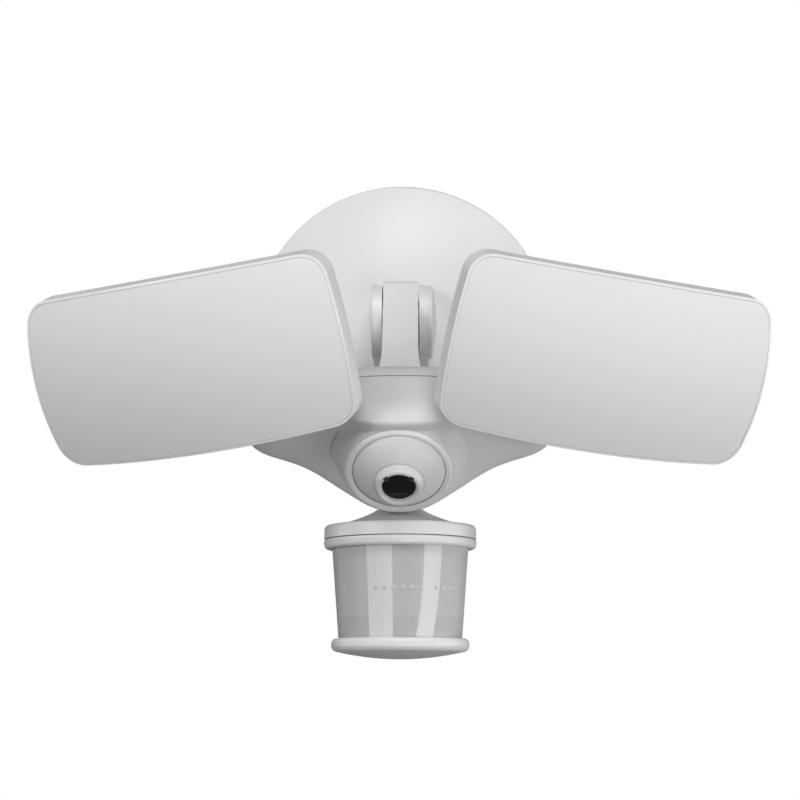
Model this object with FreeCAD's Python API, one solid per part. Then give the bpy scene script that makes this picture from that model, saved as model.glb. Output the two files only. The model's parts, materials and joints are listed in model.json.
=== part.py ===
import FreeCAD, Part
import math
import os

# Wall-mounted floodlight camera: round canopy, tilting body, two LED heads, ball camera, motion sensor.
# Frame: +Z up, -Y out of the wall, wall plane at Y = 0, origin at the middle of the canopy. Millimetres.

V = FreeCAD.Vector

# ---- driving dimensions ----
CANOPY_R = 63.5
CANOPY_DEPTH = 20.0
CANOPY_WALL = 2.2
BOX_SCREW_X = 44.45
CANOPY_SCREW = (40.0, -20.0)

HINGE = V(0, -39.0, -3.6)
TONGUE_R = 17.0
TONGUE_HALF = 7.15
EAR_R = 15.5
EAR_IN = 7.6
EAR_OUT = 11.3

SEAM_Z = -36.0
FOOT_Z = -31.8
WALL = 2.6
CAM_TILT = 47.4
BALL_R = 21.5
BALL_O = V(0, -88.7, -62.9)
BEZEL_R = 20.4
BEZEL_H = 12.7
BEZEL_DROP = 1.2

PIR_Y = -64.0
PIR_PIVOT = V(0, PIR_Y, -87.0)
RING_R = 29.8

HEAD_W = 58.6
HEAD_H = 32.3
SIDE_BULGE = 3.1
TOP_BULGE = 1.1
CORNER_R = 7.6
DOME_RU = 182.0
DOME_RV = 97.5
HEAD_APEX = V(80.6, -128.0, -39.0)
HEAD_YAW = 13.2
HEAD_TILT = 23.3
HEAD_ROLL = 6.8
HEAD_BACK = 35.0
KNUCKLE = V(-17.0, 49.0, -16.0)
SEAT_Z = -46.4

OUT = V(0, -math.cos(math.radians(CAM_TILT)), -math.sin(math.radians(CAM_TILT)))
BEZEL_O = BALL_O - V(0, OUT.z, -OUT.y) * BEZEL_DROP


# ---- helpers ----
def export(shape, name):
    shape.exportStep(os.path.join("parts", name + ".step"))


def cyl(r, h, base, axis=V(0, 0, 1)):
    return Part.makeCylinder(r, h, base, axis)


def tube(r_out, r_in, h, base, axis=V(0, 0, 1)):
    return cyl(r_out, h, base, axis).cut(cyl(r_in, h, base, axis))


def box(x0, x1, y0, y1, z0, z1):
    return Part.makeBox(x1 - x0, y1 - y0, z1 - z0, V(x0, y0, z0))


def stand(shape, base, axis):
    """Turn a shape made about +Z so that it stands on base and points along axis."""
    shape.Placement = FreeCAD.Placement(base, FreeCAD.Rotation(V(0, 0, 1), axis))
    return shape


def turned(profile, base, axis=V(0, 0, 1)):
    """Solid of revolution; profile is a list of (radius, height), a 3-tuple marks an arc's middle point."""
    edges = []
    last = profile[0]
    middle = None
    for point in profile[1:] + [profile[0]]:
        here = V(point[0], 0, point[1])
        start = V(last[0], 0, last[1])
        if len(point) == 3:
            middle = here
            continue
        if middle:
            edges.append(Part.Arc(start, middle, here).toShape())
        elif start.distanceToPoint(here) > 1e-6:
            edges.append(Part.makeLine(start, here))
        middle = None
        last = point
    face = Part.Face(Part.Wire(edges))
    return stand(face.revolve(V(0, 0, 0), V(0, 0, 1), 360), base, axis)


def crown(r, edge, top):
    """Profile points of a round dome closing on the axis: from (r, edge) to (0, top)."""
    sag = top - edge
    ball = (r * r + sag * sag) / (2 * sag)
    rise = math.copysign(math.sqrt(ball * ball - r * r / 4), ball)
    return [(r / 2, top - ball + rise, 1), (0, top)]


def hexagon(across, h, base, axis):
    r = across / math.sqrt(3)
    points = [V(r * math.cos(math.radians(60 * i)), r * math.sin(math.radians(60 * i)), 0) for i in range(7)]
    return stand(Part.Face(Part.makePolygon(points)).extrude(V(0, 0, h)), base, axis)


def screw(head_r, head_h, shank_r, length, base, axis):
    """Pan head above base, shank going the other way, cross recess in the head."""
    body = turned([(0, -length), (shank_r, -length), (shank_r, 0), (head_r, 0), (head_r, head_h * 0.55)]
                  + crown(head_r, head_h * 0.55, head_h), V(0, 0, 0))
    long = head_r * 0.55
    thin = head_r * 0.11
    cross = box(-long, long, -thin, thin, head_h * 0.45, head_h + 1)
    cross = cross.fuse(box(-thin, thin, -long, long, head_h * 0.45, head_h + 1))
    return stand(body.cut(cross), base, axis)


def plate_yz(points, x0, x1):
    """Flat plate from a closed Y-Z outline; 3-tuples mark arc middles."""
    edges = []
    last = points[0]
    middle = None
    for point in points[1:] + [points[0]]:
        if len(point) == 3:
            middle = V(x0, point[0], point[1])
            continue
        start = V(x0, last[0], last[1])
        here = V(x0, point[0], point[1])
        if middle:
            edges.append(Part.Arc(start, middle, here).toShape())
        else:
            edges.append(Part.makeLine(start, here))
        middle = None
        last = point
    return Part.Face(Part.Wire(edges)).extrude(V(x1 - x0, 0, 0))


def on_hinge(angle, r):
    """Point on a circle about the hinge, angle from straight down, positive away from the wall."""
    a = math.radians(angle)
    return (HINGE.y - r * math.sin(a), HINGE.z - r * math.cos(a))


# ---- wall mount ----
def mounting_bracket():
    plate = tube(56.0, 29.0, 1.6, V(0, -1.6, 0), V(0, 1, 0))
    for side in (-1, 1):
        slot = box(side * BOX_SCREW_X - 3.5, side * BOX_SCREW_X + 3.5, -2, 1, -2.3, 2.3)
        for end in (-3.5, 3.5):
            slot = slot.fuse(cyl(2.3, 3, V(side * BOX_SCREW_X + end, -2, 0), V(0, 1, 0)))
        plate = plate.cut(slot)
        boss = cyl(4.2, 2.0, V(side * CANOPY_SCREW[0], -3.6, CANOPY_SCREW[1]), V(0, 1, 0))
        plate = plate.fuse(boss).cut(cyl(1.95, 5, V(side * CANOPY_SCREW[0], -4, CANOPY_SCREW[1]), V(0, 1, 0)))
    return plate.cut(cyl(1.95, 3, V(0, -2, 42), V(0, 1, 0)))


def wall_gasket():
    return tube(63.0, 57.6, 2.4, V(0, -2.4, 0), V(0, 1, 0))


def dome(r, rim, depth):
    """Turned dome about Y, its rim at Y = -2.4."""
    side = [(0, 2.4), (r + 1.2, 2.4), (r + 1.2, rim - 1.6), (r + 0.8, rim - 0.5, 1), (r, rim)]
    return turned(side + crown(r, rim, depth), V(0, 0, 0), V(0, -1, 0))


def ear(side):
    """Hinge ear with its root sunk in the dome."""
    top = (HINGE.y, HINGE.z + EAR_R)
    low = (HINGE.y, HINGE.z - EAR_R)
    x0 = EAR_IN if side > 0 else -EAR_OUT
    points = [(-10, 17.5), (-22, 15.5, 1), top, (HINGE.y - EAR_R, HINGE.z, 1), low, (-22, -21.5, 1), (-10, -24.5)]
    plate = plate_yz(points, x0, x0 + EAR_OUT - EAR_IN)
    if side > 0:
        pocket = cyl(6.0, 5, V(EAR_OUT - 1.5, HINGE.y, HINGE.z), V(1, 0, 0))
    else:
        pocket = hexagon(10.2, 5, V(-EAR_OUT + 2.3, HINGE.y, HINGE.z), V(-1, 0, 0))
    return plate.cut(pocket)


def canopy_cover():
    outer = dome(CANOPY_R - 1.2, 5.4, CANOPY_DEPTH)
    inner = dome(CANOPY_R - 1.2 - CANOPY_WALL, 5.2, CANOPY_DEPTH - CANOPY_WALL)
    shell = outer.cut(inner)
    for side in (-1, 1):
        x = side * CANOPY_SCREW[0]
        z = CANOPY_SCREW[1]
        post = cyl(4.6, 9.0, V(x, -13.0, z), V(0, 1, 0))
        shell = shell.fuse(post)
        shell = shell.cut(cyl(2.1, 20, V(x, -20, z), V(0, 1, 0)))
        shell = shell.cut(cyl(4.3, 10, V(x, -21.0, z), V(0, 1, 0)))
    ears = ear(-1).fuse(ear(1)).cut(dome(CANOPY_R - 1.2 - CANOPY_WALL, 5.2, CANOPY_DEPTH - CANOPY_WALL))
    shell = shell.fuse(ears)
    shell = shell.cut(cyl(3.08, 40, V(-20, HINGE.y, HINGE.z), V(1, 0, 0)))
    return shell.removeSplitter()


def canopy_screws():
    heads = []
    for side in (-1, 1):
        heads.append(screw(3.8, 2.3, 1.9, 11.0, V(side * CANOPY_SCREW[0], -11.02, CANOPY_SCREW[1]), V(0, -1, 0)))
    return Part.makeCompound(heads)


def ground_screw():
    return screw(3.8, 2.2, 1.9, 1.6, V(0, -1.62, 42), V(0, -1, 0))


def hinge_bolt():
    shank = cyl(3.0, 22.0, V(-11.2, HINGE.y, HINGE.z), V(1, 0, 0))
    head = cyl(5.4, 2.6, V(9.82, HINGE.y, HINGE.z), V(1, 0, 0))
    socket = hexagon(4.0, 2, V(11.2, HINGE.y, HINGE.z), V(1, 0, 0))
    return shank.fuse(head).cut(socket)


def hinge_nut():
    nut = hexagon(10.0, 2.2, V(-9.05, HINGE.y, HINGE.z), V(-1, 0, 0))
    return nut.cut(cyl(3.0, 6, V(-13, HINGE.y, HINGE.z), V(1, 0, 0)))


def hinge_washers():
    rings = [tube(9.0, 3.1, 0.35, V(x, HINGE.y, HINGE.z), V(1, 0, 0)) for x in (-7.55, 7.2)]
    return Part.makeCompound(rings)


def hinge_cap(side, height):
    base = V(side * (EAR_OUT + 0.02), HINGE.y, HINGE.z)
    r = EAR_R - 0.4
    edge = [(0, 0), (r, 0), (r, height * 0.3), (r - 0.4, height * 0.5, 1), (r - 1.4, height * 0.6)]
    cap = turned(edge + crown(r - 1.4, height * 0.6, height), base, V(side, 0, 0))
    if side > 0:
        return cap.cut(cyl(6.2, 1.5, V(EAR_OUT, HINGE.y, HINGE.z), V(1, 0, 0)))
    return cap


# ---- body shell ----
# half span, bottom, top, front and back of the body at each station along X
STATIONS = [
    (0, -86.0, -31.4, -112.5, -40.0), (10, -84.5, -31.5, -111.3, -41.0), (18, -80.2, -32.1, -106.5, -46.0),
    (25.5, -75.4, -36.6, -100.5, -53.0), (35, -69.8, -42.6, -97.0, -62.0), (45, -66.2, -45.4, -95.5, -68.0),
    (52, -63.9, -46.6, -94.0, -71.0), (56.5, -61.0, -48.6, -91.0, -74.0), (58.8, -57.0, -52.4, -86.5, -78.5),
]
# rim of one slice: distance back from the front, height above the bottom, both as a share of the slice
SLICE = [(0.0, 0.56), (0.012, 0.61), (0.10, 0.79), (0.165, 0.925), (0.20, 0.98), (0.27, 1.0), (0.60, 1.0),
         (0.93, 0.96), (1.0, 0.55), (0.85, 0.17), (0.58, 0.10), (0.42, 0.0), (0.20, 0.285), (0.035, 0.50)]


def slice_wire(x, low, high, front, back):
    points = [V(x, front + fy * (back - front), low + fz * (high - low)) for fy, fz in SLICE]
    curve = Part.BSplineCurve()
    curve.interpolate(points, PeriodicFlag=True)
    return Part.Wire([curve.toShape()])


def body_form(inset):
    """Smooth wing-shaped solid, drawn in all round by inset."""
    rows = []
    shrink = (58.8 - inset) / 58.8
    for half, low, high, front, back in STATIONS:
        rows.append((half * shrink, low + inset, high - inset, front + inset, back - inset))
    wires = [slice_wire(-r[0], *r[1:]) for r in reversed(rows[1:])]
    wires += [slice_wire(*r) for r in rows]
    return Part.makeLoft(wires, True, False)


def above_seam(z):
    return box(-70, 70, -130, -20, z, 10)


def knuckle_world(side):
    """Middle of a head's knuckle in the body frame."""
    return head_placement(side).multVec(V(side * KNUCKLE.x, KNUCKLE.y, KNUCKLE.z))


SCREW_SPOTS = [(-13, -82), (13, -82), (-13, -50), (13, -50)]


def bezel_collar():
    """Flared shoulder that carries the wings' surface up to the bezel's edge."""
    r = BEZEL_R + 0.05
    return turned([(r - 3, 0.5), (r - 3, 11.0), (r + 0.3, 11.0), (r + 0.7, 10.6), (r + 2.3, 6.9, 1), (r + 5.6, 3.2),
                   (r + 4.2, 0.5)], BEZEL_O, OUT)


def main_housing(outer, inner):
    shell = outer.cut(inner).fuse(bezel_collar())
    cup = Part.makeSphere(BALL_R + 2.2, BALL_O).common(outer)
    boss = cyl(9.0, 12.0, V(0, PIR_Y, -82.0)).common(outer)
    shell = shell.fuse([cup, boss])
    for x, y in SCREW_SPOTS:
        shell = shell.fuse(cyl(3.4, 8.0, V(x, y, SEAM_Z - 8.2)).common(outer))
    for side in (-1, 1):
        k = knuckle_world(side)
        pad = cyl(8.4, 12.0, V(k.x, k.y, SEAT_Z - 14)).common(outer)
        shell = shell.fuse(pad)
        shell = shell.cut(cyl(9.0, 20, V(k.x, k.y, SEAT_Z)))
        shell = shell.cut(cyl(7.2, 10.0, V(k.x, k.y, SEAT_Z - 13.2)))
        shell = shell.cut(cyl(5.06, 20, V(k.x, k.y, SEAT_Z - 12)))
    shell = shell.cut(Part.makeSphere(BALL_R + 0.3, BALL_O))
    shell = shell.cut(cyl(BEZEL_R + 0.05, 20, BEZEL_O + OUT * 6.5, OUT))
    shell = shell.cut(cyl(15.0, 13, BALL_O - OUT * 27, OUT))
    shell = shell.cut(cyl(4.06, 40, V(0, PIR_Y, -95)))
    shell = shell.cut(cyl(12.5, 16, V(0, PIR_Y, -96.0)))
    shell = shell.cut(cyl(6.4, 6.0, V(0, PIR_Y, -70.0)))
    for x, y in SCREW_SPOTS:
        shell = shell.cut(cyl(1.3, 7.0, V(x, y, SEAM_Z - 7.2)))
    return shell.cut(above_seam(SEAM_Z - 0.4))


def top_cover(outer, inner):
    lid = outer.cut(inner).common(above_seam(SEAM_Z))
    for x, y in SCREW_SPOTS:
        lid = lid.fuse(cyl(3.4, 6.0, V(x, y, SEAM_Z)).common(outer))
        lid = lid.cut(cyl(1.6, 20, V(x, y, SEAM_Z - 1))).cut(cyl(2.9, 20, V(x, y, SEAM_Z + 1.6)))
    for y in (-69, -58):
        lid = lid.cut(cyl(2.1, 20, V(0, y, SEAM_Z - 1)))
    return lid.cut(box(-8.8, 8.8, -78.2, -53.8, FOOT_Z, -20))


def housing_seal(outer):
    band = outer.cut(body_form(2.0))
    return band.common(box(-70, 70, -130, -20, SEAM_Z - 0.38, SEAM_Z - 0.02))


def housing_screws():
    parts = []
    for x, y in SCREW_SPOTS:
        parts.append(screw(2.7, 1.8, 1.28, 8.0, V(x, y, SEAM_Z + 1.62), V(0, 0, 1)))
    return Part.makeCompound(parts)


def waist():
    """Front outline of the arm, straight at the hinge and spreading towards the foot, run along Y."""
    t = TONGUE_HALF
    outline = plate_yz([(-t, 20), (-t, -16), (-t - 0.25, -23.0, 1), (-t - 1.35, -31.0), (t + 1.35, -31.0),
                        (t + 0.25, -23.0, 1), (t, -16), (t, 20)], 15, 95)
    outline.rotate(V(0, 0, 0), V(0, 0, 1), -90)
    return outline


def tilt_arm():
    """Tongue of the hinge carried forward and down on to the lid."""
    up = on_hinge(150, TONGUE_R)
    rear = on_hinge(-35, TONGUE_R)
    points = [up, on_hinge(-135, TONGUE_R) + (1,), rear, (-50.5, -23.0, 1), (-57.0, -30.6), (-78.0, -30.6),
              (-67.5, -17.0, 1), up]
    web = plate_yz(points[:-1], -9.0, 9.0).common(waist())
    foot = box(-8.6, 8.6, -78.0, -54.0, FOOT_Z, -29.2)
    foot = foot.makeFillet(4.0, [e for e in foot.Edges if abs(e.Vertexes[0].Z - e.Vertexes[-1].Z) > 1])
    arm = web.fuse(foot)
    arm = arm.cut(cyl(3.08, 40, V(-20, HINGE.y, HINGE.z), V(1, 0, 0)))
    for y in (-69, -58):
        arm = arm.cut(cyl(1.6, 9, V(0, y, -33)))
    return arm


def arm_screws():
    parts = [screw(3.6, 2.0, 1.58, 8.3, V(0, y, -34.3), V(0, 0, -1)) for y in (-69, -58)]
    return Part.makeCompound(parts)


# ---- electronics in the body ----
def main_board():
    board = box(-15, 15, -57.6, -56, -68, -40)
    chips = [box(-9, 5, -58.8, -57.6, -62, -48), box(7, 13, -59.0, -57.6, -56, -48)]
    return board.fuse(chips)


def led_driver():
    block = box(-12, 12, -54.4, -47, -64, -46)
    return block.makeFillet(1.2, [e for e in block.Edges if abs(e.Vertexes[0].Y - e.Vertexes[-1].Y) > 1])


def speaker():
    return turned([(0, 0), (5, 0), (5, 2), (8, 3.6), (8, 4.6), (6.8, 4.6)] + crown(6.8, 4.6, 3.2),
                  V(30, -75, -58))


def wifi_antenna():
    return box(-37, -25, -80, -71, -55.0, -54.0)


# ---- ball camera ----
def along(r_h, base=BALL_O):
    return turned(r_h, base, OUT)


def camera_bezel():
    ring = turned([(12, 6.55), (BEZEL_R, 6.55), (BEZEL_R, BEZEL_H - 1.4), (BEZEL_R - 0.5, BEZEL_H - 0.45, 1),
                   (BEZEL_R - 1.7, BEZEL_H), (12, BEZEL_H)], BEZEL_O, OUT)
    return ring.cut(Part.makeSphere(BALL_R + 0.3, BALL_O))


def camera_socket():
    """Strap across the back opening of the ball cup with a forked post reaching the ball's middle."""
    plate = along([(0, -20.4), (15.6, -20.4), (15.6, -18.38), (0, -18.38)]).common(box(-9.2, 9.2, -120, -40, -90, -20))
    post = along([(0, -18.6), (5.0, -18.6), (3.8, -10), (3.8, -4.2), (0, -4.2)])
    fork = []
    for side in (-1, 1):
        x0 = 3.2 if side > 0 else -5.2
        cheek = stand(box(x0, x0 + 2.0, -3.0, 3.0, -10.0, 2.4), BALL_O, OUT)
        fork.append(cheek)
    yoke = stand(box(-5.2, 5.2, -3.0, 3.0, -10.0, -7.0), BALL_O, OUT)
    body = plate.fuse([post.cut(stand(box(-3.2, 3.2, -6, 6, -7.0, 4), BALL_O, OUT)), yoke] + fork)
    return body.cut(cyl(1.26, 20, BALL_O - V(10, 0, 0), V(1, 0, 0)))


def camera_cross():
    block = stand(box(-3.0, 3.0, -3.0, 3.0, -3.0, 3.0), BALL_O, OUT)
    side_pin = cyl(1.2, 10.6, BALL_O - V(5.3, 0, 0), V(1, 0, 0))
    up = OUT.cross(V(1, 0, 0))
    long_pin = cyl(1.2, 22.0, BALL_O - up * 11.0, up)
    return block.fuse([side_pin, long_pin])


def ball_shell(r_out, r_in):
    return Part.makeSphere(r_out, BALL_O).cut(Part.makeSphere(r_in, BALL_O))


def camera_ball():
    """Front shell of the ball, with two ribs that take the cross pin."""
    shell = ball_shell(BALL_R, 19.4).common(cyl(25, 40, BALL_O - OUT * 1.0, OUT))
    up = OUT.cross(V(1, 0, 0))
    ribs = []
    for side in (-1, 1):
        rib = cyl(3.2, 12.4, BALL_O + up * side * 8.2, up * side)
        ribs.append(rib.common(Part.makeSphere(20.4, BALL_O)))
    shell = shell.fuse(ribs).cut(cyl(1.26, 24, BALL_O - up * 12, up))
    collar = along([(8.0, 15.0), (10.0, 15.0), (10.0, 19.2), (8.0, 19.2)])
    shell = shell.fuse(collar).cut(cyl(8.0, 30, BALL_O + OUT * 10, OUT))
    return shell.cut(cyl(21.6, 20, BALL_O - OUT * 21.0, OUT).cut(Part.makeSphere(17.5, BALL_O)))


def camera_ball_rear():
    shell = ball_shell(BALL_R, 19.4).common(cyl(25, 2.15, BALL_O - OUT * 3.2, OUT))
    web = along([(17.7, -2.6), (19.6, -2.6), (19.6, -1.1), (17.7, -1.1)])
    return shell.fuse(web)


def lens_ring():
    return along([(6.4, 19.0), (7.95, 19.0), (7.95, 20.0), (9.2, 19.65), (9.2, 20.3), (8.9, 20.8, 1), (8.5, 21.3),
                  (8.3, 22.5, 1), (7.7, 22.9), (7.0, 22.7, 1), (6.6, 22.2), (6.4, 21.2)])


def lens_cover():
    return along([(0, 20.0), (6.35, 20.0), (6.35, 21.0)] + crown(6.35, 21.0, 21.7))


def lens_barrel():
    outer = along([(4.6, 6.0), (6.0, 6.0), (6.0, 19.4), (4.6, 19.4)])
    flange = along([(4.6, 10.6), (7.9, 10.6), (7.9, 12.4), (4.6, 12.4)])
    return outer.fuse(flange)


def lens_elements():
    front = along([(0, 17.4), (4.55, 17.4), (4.55, 18.2)] + crown(4.55, 18.2, 19.1))
    middle = along([(0, 12.6), (4.55, 12.6), (4.55, 14.4)] + crown(4.55, 14.4, 13.6))
    rear = along([(0, 8.0), (4.55, 8.0), (4.55, 9.2)] + crown(4.55, 9.2, 10.1))
    return Part.makeCompound([front, middle, rear])


def sensor_board():
    return stand(box(-9, 9, -9, 9, 4.4, 5.9), BALL_O, OUT)


# ---- motion sensor ----
def pir_swivel():
    stem = turned([(0, -3.0), (3.0, -3.0), (4.0, 6.0), (4.0, 20.4), (0, 20.4)], PIR_PIVOT)
    flange = turned([(0, 5.0), (7.0, 5.0), (7.0, 6.4), (0, 6.4)], PIR_PIVOT)
    eye = cyl(3.4, 5.0, PIR_PIVOT - V(2.5, 0, 0), V(1, 0, 0))
    body = stem.common(box(-2.5, 2.5, -80, -50, -95, -82.5).fuse(cyl(6, 20, V(0, PIR_Y, -82.6)))).fuse([flange, eye])
    return body.cut(cyl(1.56, 12, PIR_PIVOT - V(6, 0, 0), V(1, 0, 0)))


def pir_swivel_nut():
    nut = hexagon(9.4, 3.0, V(0, PIR_Y, -69.9), V(0, 0, 1))
    return nut.cut(cyl(4.0, 9, V(0, PIR_Y, -72)))


def pir_top_cap():
    """Flared neck and upper ring of the sensor, hollow, with two lugs for the tilt pin."""
    p = V(0, PIR_Y, 0)
    outer = turned([(9.4, -83.8), (10.6, -84.7), (16.0, -87.1, 1), (22.4, -89.2), (27.8, -90.1),
                    (29.4, -90.6, 1), (RING_R, -91.6), (RING_R, -95.3), (27.4, -95.3), (27.4, -91.9),
                    (19.6, -90.6), (11.9, -88.6, 1), (8.4, -85.2), (8.4, -83.8)], p)
    lugs = []
    for side in (-1, 1):
        x0 = 2.7 if side > 0 else -5.2
        lug = cyl(3.4, 2.5, V(x0, PIR_Y, PIR_PIVOT.z), V(1, 0, 0))
        leg = box(x0, x0 + 2.5, PIR_Y - 3.4, PIR_Y + 3.4, -95.0, PIR_PIVOT.z)
        lugs += [lug, leg]
    deck = turned([(0, -95.3), (27.6, -95.3), (27.6, -93.7), (0, -93.7)], p)
    for x, y in pir_screw_spots():
        deck = deck.cut(cyl(1.1, 9, V(x, y, -99)))
    body = outer.fuse(lugs + [deck])
    return body.cut(cyl(1.56, 14, PIR_PIVOT - V(7, 0, 0), V(1, 0, 0)))


def pir_pin():
    return cyl(1.5, 10.6, PIR_PIVOT - V(5.3, 0, 0), V(1, 0, 0))


def pir_ring():
    return turned([(26.9, -95.6), (RING_R - 0.5, -95.6), (RING_R, -96.0, 1), (RING_R + 0.2, -96.6),
                   (RING_R - 0.1, -98.2), (RING_R - 0.8, -99.0, 1), (RING_R - 1.6, -99.2), (26.9, -99.2)],
                  V(0, PIR_Y, 0))


def pir_lens():
    return turned([(25.5, -95.7), (26.7, -95.7), (26.7, -99.0), (24.1, -134.6), (23.1, -134.6), (25.5, -99.0)],
                  V(0, PIR_Y, 0))


def pir_bottom_cap():
    rim = [(0, -134.8), (24.0, -134.8), (24.6, -134.2), (25.6, -134.0), (26.6, -134.8, 1), (26.9, -136.2),
           (26.4, -138.2, 1), (25.2, -139.0)]
    cap = turned(rim + crown(25.2, -139.0, -141.9), V(0, PIR_Y, 0))
    return cap.cut(cyl(22.6, 2.0, V(0, PIR_Y, -138.4)))


def pir_board():
    board = box(-17, 17, PIR_Y - 0.8, PIR_Y + 0.8, -132, -97.5)
    return board.fuse(box(-8, 8, PIR_Y + 0.8, PIR_Y + 2.4, -126, -112))


def pir_elements():
    cans = []
    for x in (-9.5, 0, 9.5):
        cans.append(turned([(0, 0), (4.3, 0), (4.3, 0.6), (3.9, 0.6), (3.9, 4.0), (0, 4.0)],
                           V(x, PIR_Y - 0.82, -117), V(0, -1, 0)))
    return Part.makeCompound(cans)


def pir_screw_spots():
    corners = [math.radians(a) for a in (45, 135, 225, 315)]
    return [(21.0 * math.cos(a), PIR_Y + 21.0 * math.sin(a)) for a in corners]


def pir_screws():
    parts = [screw(2.2, 1.5, 1.08, 1.5, V(x, y, -95.32), V(0, 0, -1)) for x, y in pir_screw_spots()]
    return Part.makeCompound(parts)


# ---- LED heads, drawn with X across, Z up and +Y backwards from the face apex ----
def head_placement(side):
    turn = FreeCAD.Rotation(V(0, 0, 1), side * HEAD_YAW)
    lean = FreeCAD.Rotation(V(1, 0, 0), HEAD_TILT)
    roll = FreeCAD.Rotation(V(0, 1, 0), side * HEAD_ROLL)
    return FreeCAD.Placement(V(side * HEAD_APEX.x, HEAD_APEX.y, HEAD_APEX.z), turn.multiply(lean).multiply(roll))


def head_outline(inset, y):
    """Rounded rectangle with bowed sides."""
    w = HEAD_W - inset
    h = HEAD_H - inset
    corners = [V(-w, y, h), V(w, y, h), V(w, y, -h), V(-w, y, -h)]
    middles = [V(0, y, h + TOP_BULGE), V(w + SIDE_BULGE, y, 0), V(0, y, -h - TOP_BULGE), V(-w - SIDE_BULGE, y, 0)]
    r = max(CORNER_R - inset, 2.0)
    sides = [Part.Arc(corners[i], middles[i], corners[(i + 1) % 4]) for i in range(4)]
    edges = []
    trimmed = []
    for arc in sides:
        first = arc.FirstParameter
        last = arc.LastParameter
        share = 1.06 * r / arc.length()
        trimmed.append((arc, first + share * (last - first), last - share * (last - first)))
    for i in range(4):
        arc, first, last = trimmed[i]
        following, begin, _ = trimmed[(i + 1) % 4]
        p = arc.value(last)
        q = following.value(begin)
        corner = corners[(i + 1) % 4]
        middle = (p + q) * 0.5
        bend = middle + (corner - middle) * 0.414
        edges.append(Part.Arc(arc.value(first), arc.value((first + last) / 2), p).toShape())
        edges.append(Part.Arc(p, bend, q).toShape())
    return Part.Wire(edges)


def head_prism(inset, y0=-2, y1=40):
    return Part.Face(head_outline(inset, y0)).extrude(V(0, y1 - y0, 0))


def barrel(offset):
    """Everything behind the domed front surface moved back by offset."""
    big = DOME_RU - offset
    small = DOME_RV - offset
    z = 60.0
    reach = big - small + math.sqrt(small * small - z * z)
    edges = [Part.makeLine(V(0, 0, -z), V(reach, 0, -z)),
             Part.Arc(V(reach, 0, -z), V(big, 0, 0), V(reach, 0, z)).toShape(),
             Part.makeLine(V(reach, 0, z), V(0, 0, z)),
             Part.makeLine(V(0, 0, z), V(0, 0, -z))]
    solid = Part.Face(Part.Wire(edges)).revolve(V(0, 0, 0), V(0, 0, 1), 360)
    solid.translate(V(0, DOME_RU, 0))
    return solid


def layer(inset, near, far):
    """Domed slab inside an outline, from offset near to offset far behind the front surface."""
    return head_prism(inset).common(barrel(near)).cut(barrel(far))


def head_frame():
    rim = layer(0, 0, 3.3).cut(head_prism(0.95))
    wall = layer(0, 3.3, 8.6).cut(head_prism(4.8))
    return rim.fuse(wall)


def head_diffuser():
    return layer(1.05, 0.15, 2.15)


def head_gasket():
    return layer(1.3, 2.2, 3.25).cut(head_prism(4.4))


def rear_form(inset, back):
    front_wire = head_outline(2.4 + inset, 6.0)
    middle_wire = head_outline(3.6 + inset, 20.0)
    rear_wire = head_outline(12.0 + inset, back)
    lower = Part.makeLoft([front_wire, middle_wire], True, True)
    upper = Part.makeLoft([middle_wire, rear_wire], True, True)
    return lower.fuse(upper)


def head_back(side):
    """Finned rear casing with the two knuckle ears."""
    outer = rear_form(0, HEAD_BACK).common(barrel(8.65))
    shell = outer.cut(rear_form(2.4, HEAD_BACK - 2.4))
    kx = side * KNUCKLE.x
    fins = []
    for i in range(-4, 5):
        x = side * i * 9.0 + side * 7.0
        if abs(x - kx) > 13 and abs(x) < 46:
            fins.append(box(x - 1.0, x + 1.0, HEAD_BACK - 1, HEAD_BACK + 3.6, -18, 18))
    ears = []
    for x0 in (kx - 6.6, kx + 3.7):
        eye = cyl(6.6, 2.9, V(x0, KNUCKLE.y, KNUCKLE.z), V(1, 0, 0))
        web = box(x0, x0 + 2.9, HEAD_BACK - 1, KNUCKLE.y, KNUCKLE.z - 4.5, KNUCKLE.z + 6.6)
        ears += [eye, web]
    posts = []
    for x in (-40, 40):
        for z in (-14, 14):
            posts.append(cyl(3.0, HEAD_BACK - 21.2, V(x, 20.2, z), V(0, 1, 0)))
    shell = shell.fuse(fins + ears + posts)
    for x in (-40, 40):
        for z in (-14, 14):
            shell = shell.cut(cyl(1.1, 5.5, V(x, 20.0, z), V(0, 1, 0)))
    return shell.cut(cyl(2.06, 30, V(kx - 15, KNUCKLE.y, KNUCKLE.z), V(1, 0, 0)))


def head_board():
    board = box(-46, 46, 18.4, 20.0, -19, 19)
    for x in (-40, 40):
        for z in (-14, 14):
            board = board.cut(cyl(1.4, 4, V(x, 17, z), V(0, 1, 0)))
    return board


def head_leds():
    chips = []
    for i in range(7):
        for j in range(3):
            x = -36 + 12 * i
            z = -9 + 9 * j
            chips.append(box(x - 1.8, x + 1.8, 17.5, 18.38, z - 1.8, z + 1.8))
    return Part.makeCompound(chips)


def board_screws():
    parts = []
    for x in (-40, 40):
        for z in (-14, 14):
            parts.append(screw(2.2, 1.5, 1.08, 6.0, V(x, 18.38, z), V(0, -1, 0)))
    return Part.makeCompound(parts)


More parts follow.
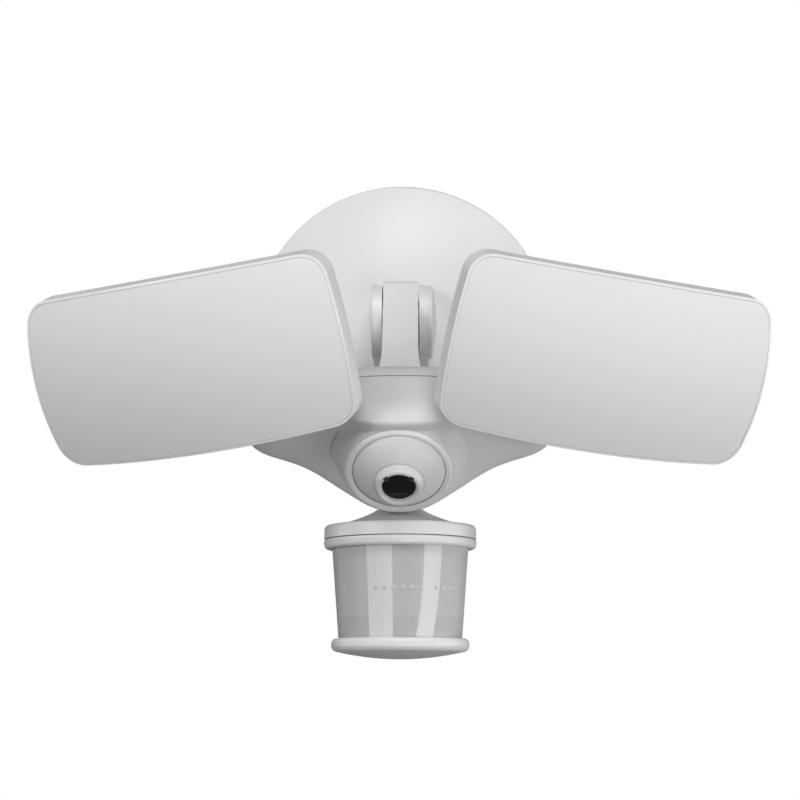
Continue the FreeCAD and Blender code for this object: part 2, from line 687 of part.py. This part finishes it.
def tilt_bolt(side):
    """Socket-head bolt through the knuckle with its nut."""
    kx = side * KNUCKLE.x
    shank = cyl(2.0, 17.0, V(kx - 9.0, KNUCKLE.y, KNUCKLE.z), V(1, 0, 0))
    head = cyl(3.8, 2.4, V(kx + 6.62, KNUCKLE.y, KNUCKLE.z), V(1, 0, 0))
    bolt = shank.fuse(head).cut(hexagon(2.5, 2, V(kx + 7.8, KNUCKLE.y, KNUCKLE.z), V(1, 0, 0)))
    nut = hexagon(7.0, 2.3, V(kx - 6.62, KNUCKLE.y, KNUCKLE.z), V(-1, 0, 0))
    nut = nut.cut(cyl(2.0, 20, V(kx - 14, KNUCKLE.y, KNUCKLE.z), V(1, 0, 0)))
    return Part.makeCompound([bolt, nut])


# ---- head swivels, in the body frame ----
def head_swivel(side):
    k = knuckle_world(side)
    axis = head_placement(side).Rotation.multVec(V(1, 0, 0))
    eye = cyl(6.2, 7.0, k - axis * 3.5, axis)
    neck = cyl(4.6, k.z - 1.0 - (SEAT_Z + 2.0), V(k.x, k.y, SEAT_Z + 2.0))
    neck = neck.common(stand(box(-20, 20, -20, 20, -3.3, 3.3), k, axis))
    base = turned([(0, 0.05), (7.6, 0.05), (8.0, 0.5, 1), (8.0, 1.2), (6.4, 3.0, 1), (4.4, 4.2), (0, 4.2)],
                  V(k.x, k.y, SEAT_Z))
    stem = cyl(5.0, 8.4, V(k.x, k.y, SEAT_Z - 8.3))
    body = base.fuse([stem, eye, neck])
    return body.cut(cyl(2.06, 20, k - axis * 10, axis))


def swivel_nut(side):
    k = knuckle_world(side)
    nut = hexagon(11.6, 3.2, V(k.x, k.y, SEAT_Z - 6.4), V(0, 0, 1))
    return nut.cut(cyl(5.0, 9, V(k.x, k.y, SEAT_Z - 9)))


def make_mount():
    export(mounting_bracket(), "mounting_bracket")
    export(wall_gasket(), "wall_gasket")
    export(canopy_cover(), "canopy_cover")
    export(canopy_screws(), "canopy_screws")
    export(ground_screw(), "ground_screw")
    export(hinge_bolt(), "hinge_bolt")
    export(hinge_nut(), "hinge_nut")
    export(hinge_washers(), "hinge_washers")
    export(hinge_cap(-1, 1.2), "hinge_cap_left")
    export(hinge_cap(1, 3.2), "hinge_cap_right")


def make_body():
    outer = body_form(0)
    inner = body_form(WALL)
    export(main_housing(outer, inner), "main_housing")
    export(top_cover(outer, inner), "top_cover")
    export(housing_seal(body_form(0.35)), "housing_seal")
    export(housing_screws(), "housing_screws")
    export(tilt_arm(), "tilt_arm")
    export(arm_screws(), "arm_screws")
    export(main_board(), "main_board")
    export(led_driver(), "led_driver")
    export(speaker(), "speaker")
    export(wifi_antenna(), "wifi_antenna")


def make_camera():
    export(camera_bezel(), "camera_bezel")
    export(camera_socket(), "camera_socket")
    export(camera_cross(), "camera_cross")
    export(camera_ball(), "camera_ball_front")
    export(camera_ball_rear(), "camera_ball_rear")
    export(lens_ring(), "lens_ring")
    export(lens_cover(), "lens_cover")
    export(lens_barrel(), "lens_barrel")
    export(lens_elements(), "lens_elements")
    export(sensor_board(), "image_sensor_board")


def make_motion_sensor():
    export(pir_swivel(), "pir_swivel")
    export(pir_swivel_nut(), "pir_swivel_nut")
    export(pir_top_cap(), "pir_top_cap")
    export(pir_pin(), "pir_tilt_pin")
    export(pir_ring(), "pir_ring")
    export(pir_lens(), "pir_fresnel_lens")
    export(pir_bottom_cap(), "pir_bottom_cap")
    export(pir_board(), "pir_board")
    export(pir_elements(), "pir_elements")
    export(pir_screws(), "pir_screws")


def make_head(side, name):
    pieces = {
        "frame": head_frame(), "diffuser": head_diffuser(), "gasket": head_gasket(),
        "back_casing": head_back(side), "led_board": head_board(), "leds": head_leds(),
        "board_screws": board_screws(), "tilt_bolt": tilt_bolt(side),
    }
    for piece, shape in pieces.items():
        shape.Placement = head_placement(side).multiply(shape.Placement)
        export(shape, name + "_" + piece)
    export(head_swivel(side), name + "_swivel")
    export(swivel_nut(side), name + "_swivel_nut")


os.makedirs("parts", exist_ok=True)
make_mount()
make_body()
make_camera()
make_motion_sensor()
make_head(-1, "left")
make_head(1, "right")
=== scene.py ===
import json
import math
import bmesh
import bpy
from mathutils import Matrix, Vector


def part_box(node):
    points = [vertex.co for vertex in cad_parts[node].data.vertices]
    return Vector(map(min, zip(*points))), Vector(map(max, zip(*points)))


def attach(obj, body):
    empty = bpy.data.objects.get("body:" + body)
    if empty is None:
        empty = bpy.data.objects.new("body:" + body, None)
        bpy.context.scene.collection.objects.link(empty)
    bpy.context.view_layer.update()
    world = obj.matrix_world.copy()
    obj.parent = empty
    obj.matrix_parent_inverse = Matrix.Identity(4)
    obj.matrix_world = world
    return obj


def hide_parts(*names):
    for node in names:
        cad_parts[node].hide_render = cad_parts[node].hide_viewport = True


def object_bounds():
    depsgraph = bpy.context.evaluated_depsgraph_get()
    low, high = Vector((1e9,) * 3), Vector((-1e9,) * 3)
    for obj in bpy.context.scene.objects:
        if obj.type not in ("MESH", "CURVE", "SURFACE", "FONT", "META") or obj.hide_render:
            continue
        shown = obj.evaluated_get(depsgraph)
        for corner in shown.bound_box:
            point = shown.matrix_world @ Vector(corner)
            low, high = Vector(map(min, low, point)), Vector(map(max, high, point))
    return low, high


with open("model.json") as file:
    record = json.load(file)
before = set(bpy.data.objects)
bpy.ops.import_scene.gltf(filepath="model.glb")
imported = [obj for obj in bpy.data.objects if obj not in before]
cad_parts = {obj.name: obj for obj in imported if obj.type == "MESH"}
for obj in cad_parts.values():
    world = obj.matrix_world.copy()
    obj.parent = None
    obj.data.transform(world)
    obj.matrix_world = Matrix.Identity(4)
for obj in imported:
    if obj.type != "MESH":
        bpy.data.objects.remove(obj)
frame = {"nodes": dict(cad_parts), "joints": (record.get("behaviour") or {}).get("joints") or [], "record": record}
cad_low, cad_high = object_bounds()
NODES = frame["nodes"]
MM = 0.001


# ---------- material building blocks ----------
def new_material(name):
    mat = bpy.data.materials.new(name)
    mat.use_nodes = True
    nt = mat.node_tree
    return mat, nt, nt.nodes["Principled BSDF"]


def noise(nt, scale, detail=3.0, rough=0.5):
    """Noise in object space, so its scale is in patches per metre."""
    coords = nt.nodes.new("ShaderNodeTexCoord")
    tex = nt.nodes.new("ShaderNodeTexNoise")
    tex.inputs["Scale"].default_value = scale
    tex.inputs["Detail"].default_value = detail
    tex.inputs["Roughness"].default_value = rough
    nt.links.new(coords.outputs["Object"], tex.inputs["Vector"])
    return tex.outputs["Fac"]


def remap(nt, cloud, out_low, out_high):
    """Stretch the middle of a noise, where nearly all of it lies, to the given range."""
    node = nt.nodes.new("ShaderNodeMapRange")
    node.inputs["From Min"].default_value = 0.3
    node.inputs["From Max"].default_value = 0.7
    node.inputs["To Min"].default_value = out_low
    node.inputs["To Max"].default_value = out_high
    nt.links.new(cloud, node.inputs["Value"])
    return node.outputs["Result"]


def tint(nt, value, dark, light):
    ramp = nt.nodes.new("ShaderNodeValToRGB")
    ramp.color_ramp.elements[0].color = (*dark, 1)
    ramp.color_ramp.elements[1].color = (*light, 1)
    nt.links.new(value, ramp.inputs["Fac"])
    return ramp.outputs["Color"]


def cloudy(nt, shader, cloud, dark, light, rough_low, rough_high):
    """Colour and roughness that drift together with a slow noise."""
    nt.links.new(tint(nt, cloud, dark, light), shader.inputs["Base Color"])
    nt.links.new(remap(nt, cloud, rough_low, rough_high), shader.inputs["Roughness"])


def bump(nt, shader, height, distance, strength):
    node = nt.nodes.new("ShaderNodeBump")
    node.inputs["Distance"].default_value = distance
    node.inputs["Strength"].default_value = strength
    nt.links.new(height, node.inputs["Height"])
    nt.links.new(node.outputs["Normal"], shader.inputs["Normal"])


def camera_rays_only(nt, seen_by_camera, seen_by_light, surface):
    """Show one shader to the camera and another to everything that is lit by it."""
    path = nt.nodes.new("ShaderNodeLightPath")
    mix = nt.nodes.new("ShaderNodeMixShader")
    nt.links.new(path.outputs["Is Camera Ray"], mix.inputs["Fac"])
    nt.links.new(seen_by_light, mix.inputs[1])
    nt.links.new(seen_by_camera, mix.inputs[2])
    nt.links.new(mix.outputs["Shader"], surface)


# ---------- materials ----------
def moulded(name, colour, rough, grain=1400.0, depth=0.03 * MM, spread=0.06, vary=0.03):
    """Moulded plastic: fine spark-eroded grain, cloudy gloss and a very slight colour drift."""
    mat, nt, shader = new_material(name)
    fine = noise(nt, grain, 2.0, 0.6)
    cloud = noise(nt, 22.0, 4.0)
    dark = tuple(c * (1 - vary) for c in colour)
    cloudy(nt, shader, cloud, dark, colour, rough - spread, rough + spread)
    bump(nt, shader, fine, depth, 0.5)
    return mat


def metal(name, colour, rough):
    """Plated metal with small duller patches."""
    mat, nt, shader = new_material(name)
    shader.inputs["Metallic"].default_value = 1.0
    cloud = noise(nt, 260.0, 5.0, 0.7)
    dark = tuple(c * 0.82 for c in colour)
    cloudy(nt, shader, cloud, dark, colour, rough - 0.08, rough + 0.1)
    bump(nt, shader, cloud, 0.02 * MM, 0.4)
    return mat


def lens_glass():
    """Black gloss of the camera's front window."""
    mat, nt, shader = new_material("lens_black_gloss")
    cloud = noise(nt, 60.0, 2.0)
    cloudy(nt, shader, cloud, (0.004, 0.004, 0.005), (0.008, 0.008, 0.010), 0.04, 0.08)
    shader.inputs["Specular IOR Level"].default_value = 0.25
    return mat


def fresnel_plastic(name, shade):
    """Milky plastic of the motion sensor window: cloudy body under a satin skin."""
    mat, nt, shader = new_material(name)
    cloud = noise(nt, 40.0, 3.0)
    grain = noise(nt, 1800.0, 2.0)
    cloudy(nt, shader, cloud, (shade * 0.95,) * 3, (shade * 1.03,) * 3, 0.34, 0.46)
    bump(nt, shader, grain, 0.02 * MM, 0.4)
    return mat


WHITE = moulded("white_shell_plastic", (0.80, 0.80, 0.80), 0.38)
# Painted shade: the body and lens ring use the white shell plastic made darker, to stand in for the shade that
# falls on them.
BODY_PAINTED_SHADE = moulded("body_plastic_painted_shade", (0.66, 0.66, 0.66), 0.44)
RING_PAINTED_SHADE = moulded("lens_ring_plastic_painted_shade", (0.66, 0.66, 0.66), 0.40)
# Painted light: the canopy, hinge caps, tilt arm and head frames use the white shell plastic made lighter, to
# stand in for the light on them.
CANOPY_PAINTED_LIGHT = moulded("canopy_plastic_painted_light", (0.86, 0.86, 0.86), 0.42)
FRAME_PAINTED_LIGHT = moulded("head_frame_plastic_painted_light", (0.90, 0.90, 0.90), 0.36)
DIFFUSER = moulded("frosted_diffuser", (0.84, 0.84, 0.845), 0.66, 2600.0, 0.02 * MM, 0.04, 0.01)
RUBBER = moulded("seal_rubber", (0.62, 0.62, 0.62), 0.75, 700.0, 0.06 * MM)
BLACK = moulded("black_plastic", (0.02, 0.02, 0.022), 0.45)
BOARD = moulded("solder_mask", (0.02, 0.16, 0.06), 0.35, 500.0)
CHIP = moulded("led_phosphor", (0.90, 0.78, 0.28), 0.3)
GREEN = metal("green_screw_paint", (0.05, 0.35, 0.10), 0.35)
STEEL = metal("zinc_plate", (0.62, 0.62, 0.63), 0.33)
GOLD = metal("antenna_gold", (0.75, 0.55, 0.25), 0.3)
LENS = lens_glass()
FRESNEL = fresnel_plastic("window_plastic", 0.50)

SLOT_LOOK = {
    "white_shell": WHITE,
    "inner_plastic": BLACK,
    "driver_case": BLACK,
    "seal_rubber": RUBBER,
    "steel": STEEL,
    "sensor_can": STEEL,
    "green_screw": GREEN,
    "antenna": GOLD,
    "circuit_board": BOARD,
    "led_chip": CHIP,
    "diffuser": DIFFUSER,
    "frosted_lens": FRESNEL,
    "lens_black": LENS,
    "optical_glass": LENS,
}
# Nodes drawn with their own look instead of their slot's: mostly darker copies of the white plastic as painted
# shade, or lighter ones as painted light.
NODE_PAINTED_LIGHT_AND_SHADE = {
    "canopy_cover": CANOPY_PAINTED_LIGHT,
    "hinge_cap_left": CANOPY_PAINTED_LIGHT,
    "hinge_cap_right": CANOPY_PAINTED_LIGHT,
    "tilt_arm": CANOPY_PAINTED_LIGHT,
    "main_housing": BODY_PAINTED_SHADE,
    "top_cover": BODY_PAINTED_SHADE,
    "camera_ball_front": BODY_PAINTED_SHADE,
    "lens_ring": RING_PAINTED_SHADE,
    "left_frame": FRAME_PAINTED_LIGHT,
    "right_frame": FRAME_PAINTED_LIGHT,
    "pir_swivel": WHITE,
}


def paint(obj, mat):
    if not obj.material_slots:
        obj.data.materials.append(mat)
    for material_slot in obj.material_slots:
        material_slot.material = mat


def paint_cad():
    """Each CAD node gets its slot's look, or its own where the photograph shows another shade: a darker copy of
    the white plastic as painted shade or a lighter one as painted light.
    """
    for part in frame["record"]["subparts"]:
        node = part["node"]
        paint(NODES[node], NODE_PAINTED_LIGHT_AND_SHADE.get(node, SLOT_LOOK[part["material_slot"]]))


# ---------- rounded edges on CAD pieces ----------
SOFT_NODES = ("tilt_arm", "pir_ring")
EDGE_ROUND = 0.25 * MM
SHARP_FROM = 35


def soften(node):
    """Small rounded edge wherever two faces meet sharper than SHARP_FROM degrees."""
    tool = NODES[node].modifiers.new("edge_round", "BEVEL")
    tool.width = EDGE_ROUND
    tool.segments = 3
    tool.limit_method = "ANGLE"
    tool.angle_limit = math.radians(SHARP_FROM)
    tool.harden_normals = True


# ---------- mesh helpers ----------
def finished_mesh(name, bm):
    bmesh.ops.recalc_face_normals(bm, faces=bm.faces)
    mesh = bpy.data.meshes.new(name)
    bm.to_mesh(mesh)
    bm.free()
    return mesh


def new_piece(name, mesh, body, materials):
    obj = bpy.data.objects.new(name, mesh)
    bpy.context.scene.collection.objects.link(obj)
    for mat in materials:
        mesh.materials.append(mat)
    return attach(obj, body)


def turned_point(centre, r, angle, z):
    """Point on a ring about a vertical axis, angle 0 facing out of the wall."""
    return (centre.x + r * math.sin(angle), centre.y - r * math.cos(angle), z)


# ---------- motion sensor window ----------
WINDOW_STEPS = 1440
WINDOW_ROWS = 36
WINDOW_WALL = 1.0 * MM
WINDOW_TAPER = 2.6 * MM         # how much smaller the radius is at the foot
STRAIGHT_SHARE = 0.085          # share of the height at the top that does not taper
PLAIN_SHARE = 0.06              # share of the height at each end that has no ribs
RIB_PITCH = 1.5                 # degrees
RIB_DEPTH = 0.07 * MM
PANEL_EDGES = (-75, -52, -28.2, -6.0, 21.0, 37.4, 60, 80)   # degrees
PALE_PANELS = (2, 4)
LEAN_FROM = 10                  # degrees; edges to the right of this lean
LEAN = 6.5                      # degrees at the foot
LOW_BAND_FROM = 0.78            # share of the height
RIBBED, PALE, LOW_BAND = 0, 1, 2
LENSLET_ANGLES = (-21, -13, -5, 3, 11, 19, 33, 41, 49, 57)  # degrees
LENSLET_SIDES = 20
LENSLET_R = 1.0 * MM
LENSLET_LIFT = 0.10 * MM
LENSLET_SUNK = 0.05 * MM
DOME_STEPS = (1.0, 0.85, 0.6, 0.3)


def panel_of(degrees, share):
    """Index of the moulded lens panel at this angle; the right ones lean a little at the foot."""
    lean = LEAN * share ** 3 if degrees > LEAN_FROM else 0
    return sum(degrees + lean >= edge for edge in PANEL_EDGES) - 1


def window_look(degrees, share):
    if panel_of(degrees, share) in PALE_PANELS:
        return PALE
    return LOW_BAND if share > LOW_BAND_FROM else RIBBED


def window_mesh(centre, top, low, r_top, r_low):
    """Tapered window with fine upright ribs outside, a plain inside and closed rims."""
    bm = bmesh.new()
    rings = []
    for k in range(WINDOW_ROWS + 1):
        share = k / WINDOW_ROWS
        z = top + (low - top) * share
        taper = max(0.0, (share - STRAIGHT_SHARE) / (1 - STRAIGHT_SHARE))
        base = r_top + (r_low - r_top) * taper
        depth = 0 if min(share, 1 - share) < PLAIN_SHARE else RIB_DEPTH
        ring = []
        for i in range(WINDOW_STEPS):
            degrees = 360.0 * i / WINDOW_STEPS
            groove = abs((degrees / RIB_PITCH) % 1.0 - 0.5) * 2
            place = turned_point(centre, base - depth * groove, math.radians(degrees), z)
            ring.append(bm.verts.new(place))
        rings.append(ring)
    for z, r in ((low, r_low - WINDOW_WALL), (top, r_top - WINDOW_WALL)):
        angles = [math.tau * i / WINDOW_STEPS for i in range(WINDOW_STEPS)]
        rings.append([bm.verts.new(turned_point(centre, r, a, z)) for a in angles])
    for k, upper in enumerate(rings):
        lower = rings[(k + 1) % len(rings)]
        share = (k + 0.5) / WINDOW_ROWS
        for i in range(WINDOW_STEPS):
            j = (i + 1) % WINDOW_STEPS
            face = bm.faces.new((upper[i], upper[j], lower[j], lower[i]))
            degrees = (360.0 * (i + 0.5) / WINDOW_STEPS + 180) % 360 - 180
            face.material_index = window_look(degrees, share) if k < WINDOW_ROWS else RIBBED
    return finished_mesh("pir_window", bm)


def lenslet_mesh(centre, z, r):
    """Row of small round lens domes on the window, sunk a little so that they join it."""
    bm = bmesh.new()
    for degrees in LENSLET_ANGLES:
        angle = math.radians(degrees)
        hub = Vector(turned_point(centre, r, angle, z))
        out = Vector((math.sin(angle), -math.cos(angle), 0))
        side = Vector((math.cos(angle), math.sin(angle), 0))
        rings = []
        for share in DOME_STEPS:
            lift = LENSLET_LIFT * (1 - share ** 4) - (LENSLET_SUNK if share == 1.0 else 0)
            ring = []
            for i in range(LENSLET_SIDES):
                turn = math.tau * i / LENSLET_SIDES
                spoke = side * math.cos(turn) + Vector((0, 0, math.sin(turn)))
                ring.append(bm.verts.new(hub + out * lift + spoke * LENSLET_R * share))
            rings.append(ring)
        for outer, inner in zip(rings, rings[1:]):
            for i in range(LENSLET_SIDES):
                j = (i + 1) % LENSLET_SIDES
                bm.faces.new((outer[i], outer[j], inner[j], inner[i]))
        bm.faces.new(rings[-1])
        bm.faces.new(list(reversed(rings[0])))
    mesh = finished_mesh("pir_lenslets", bm)
    mesh.shade_smooth()
    return mesh


def sensor_window():
    """Ribbed window in place of the plain CAD lens, and the row of lenslets half way down it."""
    low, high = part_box("pir_fresnel_lens")
    centre = (low + high) / 2
    r_top = (high.x - low.x) / 2
    r_low = r_top - WINDOW_TAPER
    window = window_mesh(centre, high.z, low.z, r_top, r_low)
    looks = [
        FRESNEL,
        fresnel_plastic("window_pale_panel", 0.70),
        fresnel_plastic("window_low_band", 0.46),
    ]
    obj = new_piece("pir_window", window, "sensor_head", looks)
    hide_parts("pir_fresnel_lens")
    row_r = r_low + (r_top - r_low) * 0.55 - RIB_DEPTH * 0.6
    lenslets = lenslet_mesh(centre, centre.z, row_r)
    look = fresnel_plastic("lenslet_plastic", 0.58)
    new_piece("pir_lenslets", lenslets, "sensor_head", [look])


# ---------- camera ----------
TAB_ANGLES = (-42, 42)          # degrees from the top of the lens ring
TAB_HALF = 7.5                  # degrees
TAB_STEPS = 5
TAB_END_DROP = 0.12 * MM        # the ends are a little lower than the middle
TAB_FOOT = 21.6 * MM            # height of the underside above the ball's middle
TAB_PROFILE = (                 # radius from the lens axis, height above the ball's middle
    (5.8 * MM, 22.7 * MM),
    (6.1 * MM, 23.0 * MM),
    (7.7 * MM, 23.05 * MM),
    (7.9 * MM, 22.9 * MM),
)


def camera_axis():
    """Middle of the ball and the direction that its lens looks in."""
    joint = next(j for j in frame["joints"] if j["name"] == "camera_tilt")
    middle = Vector(joint["pos_m"])
    low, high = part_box("lens_ring")
    return middle, ((low + high) / 2 - middle).normalized()


def lens_tabs():
    """Two dark locating tabs on the inner lip of the lens ring, at ten and two o'clock."""
    middle, out = camera_axis()
    side = Vector((1, 0, 0))
    up = out.cross(side)
    last = len(TAB_PROFILE) - 1
    bm = bmesh.new()
    for degrees in TAB_ANGLES:
        foot, top = {}, {}
        for k in range(TAB_STEPS + 1):
            angle = math.radians(degrees - TAB_HALF + 2 * TAB_HALF * k / TAB_STEPS)
            across = side * math.sin(angle) + up * math.cos(angle)
            drop = TAB_END_DROP if k in (0, TAB_STEPS) else 0
            for m, (r, height) in enumerate(TAB_PROFILE):
                top[k, m] = bm.verts.new(middle + across * r + out * (height - drop))
                foot[k, m] = bm.verts.new(middle + across * r + out * TAB_FOOT)
        for k in range(TAB_STEPS):
            for m in range(last):
                for skin in (foot, top):
                    bm.faces.new((skin[k, m], skin[k + 1, m], skin[k + 1, m + 1], skin[k, m + 1]))
            for m in (0, last):
                bm.faces.new((foot[k, m], foot[k + 1, m], top[k + 1, m], top[k, m]))
        for k in (0, TAB_STEPS):
            for m in range(last):
                bm.faces.new((foot[k, m], foot[k, m + 1], top[k, m + 1], top[k, m]))
    new_piece("lens_tabs", finished_mesh("lens_tabs", bm), "camera", [BLACK])


# ---------- stage ----------
FLOOR_DROP = 0.95               # below the object, so that the low lights are not hidden by it
FLOOR_FRONT = -4.0
FLOOR_BACK = 1.6
SWEEP_R = 0.8
SWEEP_STEPS = 12
WALL_TOP = 5.0
HALF_WIDTH = 5.0
WORLD_GLOW = 0.03
LIGHT_TARGET = (0, -0.08, -0.04)
LIGHTS = [                      # name, place, size (m), power (W)
    ("front_left", (-1.1, -1.3, 0.3), 0.8, 8.3),
    ("front_top", (0.1, -1.1, 1.1), 0.9, 13.4),
    ("rim_left", (-1.4, 0.1, 0.0), 0.5, 2.4),
    ("rim_right", (1.4, 0.1, -0.1), 0.5, 3.2),
    ("side_right", (1.5, -0.45, -0.2), 0.5, 4.4),
    ("front_low", (0.4, -1.4, -0.5), 0.6, 4.3),
    ("low_right", (1.1, -0.7, -0.6), 0.5, 2.8),
]


def paper_white():
    """Pale paper that the camera sees as plain white."""
    mat, nt, shader = new_material("paper_white")
    cloud = noise(nt, 3.0)
    shade = tint(nt, cloud, (0.40, 0.40, 0.40), (0.42, 0.42, 0.42))
    nt.links.new(shade, shader.inputs["Base Color"])
    shader.inputs["Roughness"].default_value = 0.9
    glow = nt.nodes.new("ShaderNodeEmission")
    glow.inputs["Color"].default_value = (1.0, 1.0, 1.0, 1)
    surface = nt.nodes["Material Output"].inputs["Surface"]
    camera_rays_only(nt, glow.outputs["Emission"], shader.outputs["BSDF"], surface)
    return mat


def backdrop():
    """Pale floor that sweeps up into a wall a long way behind the object."""
    floor_z = cad_low.z - FLOOR_DROP
    profile = [(FLOOR_FRONT, floor_z), (FLOOR_BACK, floor_z)]
    for i in range(1, SWEEP_STEPS + 1):
        a = math.radians(90 * i / SWEEP_STEPS)
        y = FLOOR_BACK + SWEEP_R * math.sin(a)
        profile.append((y, floor_z + SWEEP_R * (1 - math.cos(a))))
    profile.append((FLOOR_BACK + SWEEP_R, WALL_TOP))
    mesh = bpy.data.meshes.new("backdrop")
    verts = [(x, y, z) for y, z in profile for x in (-HALF_WIDTH, HALF_WIDTH)]
    faces = [(2 * i, 2 * i + 1, 2 * i + 3, 2 * i + 2) for i in range(len(profile) - 1)]
    mesh.from_pydata(verts, [], faces)
    mesh.shade_smooth()
    obj = bpy.data.objects.new("backdrop", mesh)
    bpy.context.scene.collection.objects.link(obj)
    mesh.materials.append(paper_white())


def area(name, place, size, power):
    data = bpy.data.lights.new(name, "AREA")
    data.shape = "DISK"
    data.size = size
    data.energy = power
    obj = bpy.data.objects.new(name, data)
    obj.location = place
    aim = Vector(LIGHT_TARGET) - Vector(place)
    obj.rotation_euler = aim.to_track_quat("-Z", "Y").to_euler()
    bpy.context.scene.collection.objects.link(obj)


def camera():
    """Camera below the object that looks up at it a little, as the photograph does."""
    data = bpy.data.cameras.new("camera")
    data.sensor_width = 36.0
    data.lens = 85.5
    data.clip_end = 50
    obj = bpy.data.objects.new("camera", data)
    obj.location = (10 * MM, -810 * MM, -154 * MM)
    obj.rotation_euler = (math.radians(98.7), 0, math.radians(0.776))
    bpy.context.scene.collection.objects.link(obj)
    bpy.context.scene.camera = obj


def studio_world():
    """Even white surroundings to look at, that light the object only faintly."""
    world = bpy.data.worlds.new("studio")
    world.use_nodes = True
    nt = world.node_tree
    faint = nt.nodes["Background"]
    plain = nt.nodes.new("ShaderNodeBackground")
    for background, strength in ((faint, WORLD_GLOW), (plain, 1.0)):
        background.inputs["Color"].default_value = (1, 1, 1, 1)
        background.inputs["Strength"].default_value = strength
    surface = nt.nodes["World Output"].inputs["Surface"]
    camera_rays_only(nt, plain.outputs["Background"], faint.outputs["Background"], surface)
    bpy.context.scene.world = world


paint_cad()
sensor_window()
lens_tabs()
for node in SOFT_NODES:
    soften(node)
backdrop()
for name, place, size, power in LIGHTS:
    area(name, place, size, power)
camera()
studio_world()
bpy.context.scene.view_settings.view_transform = "Standard"
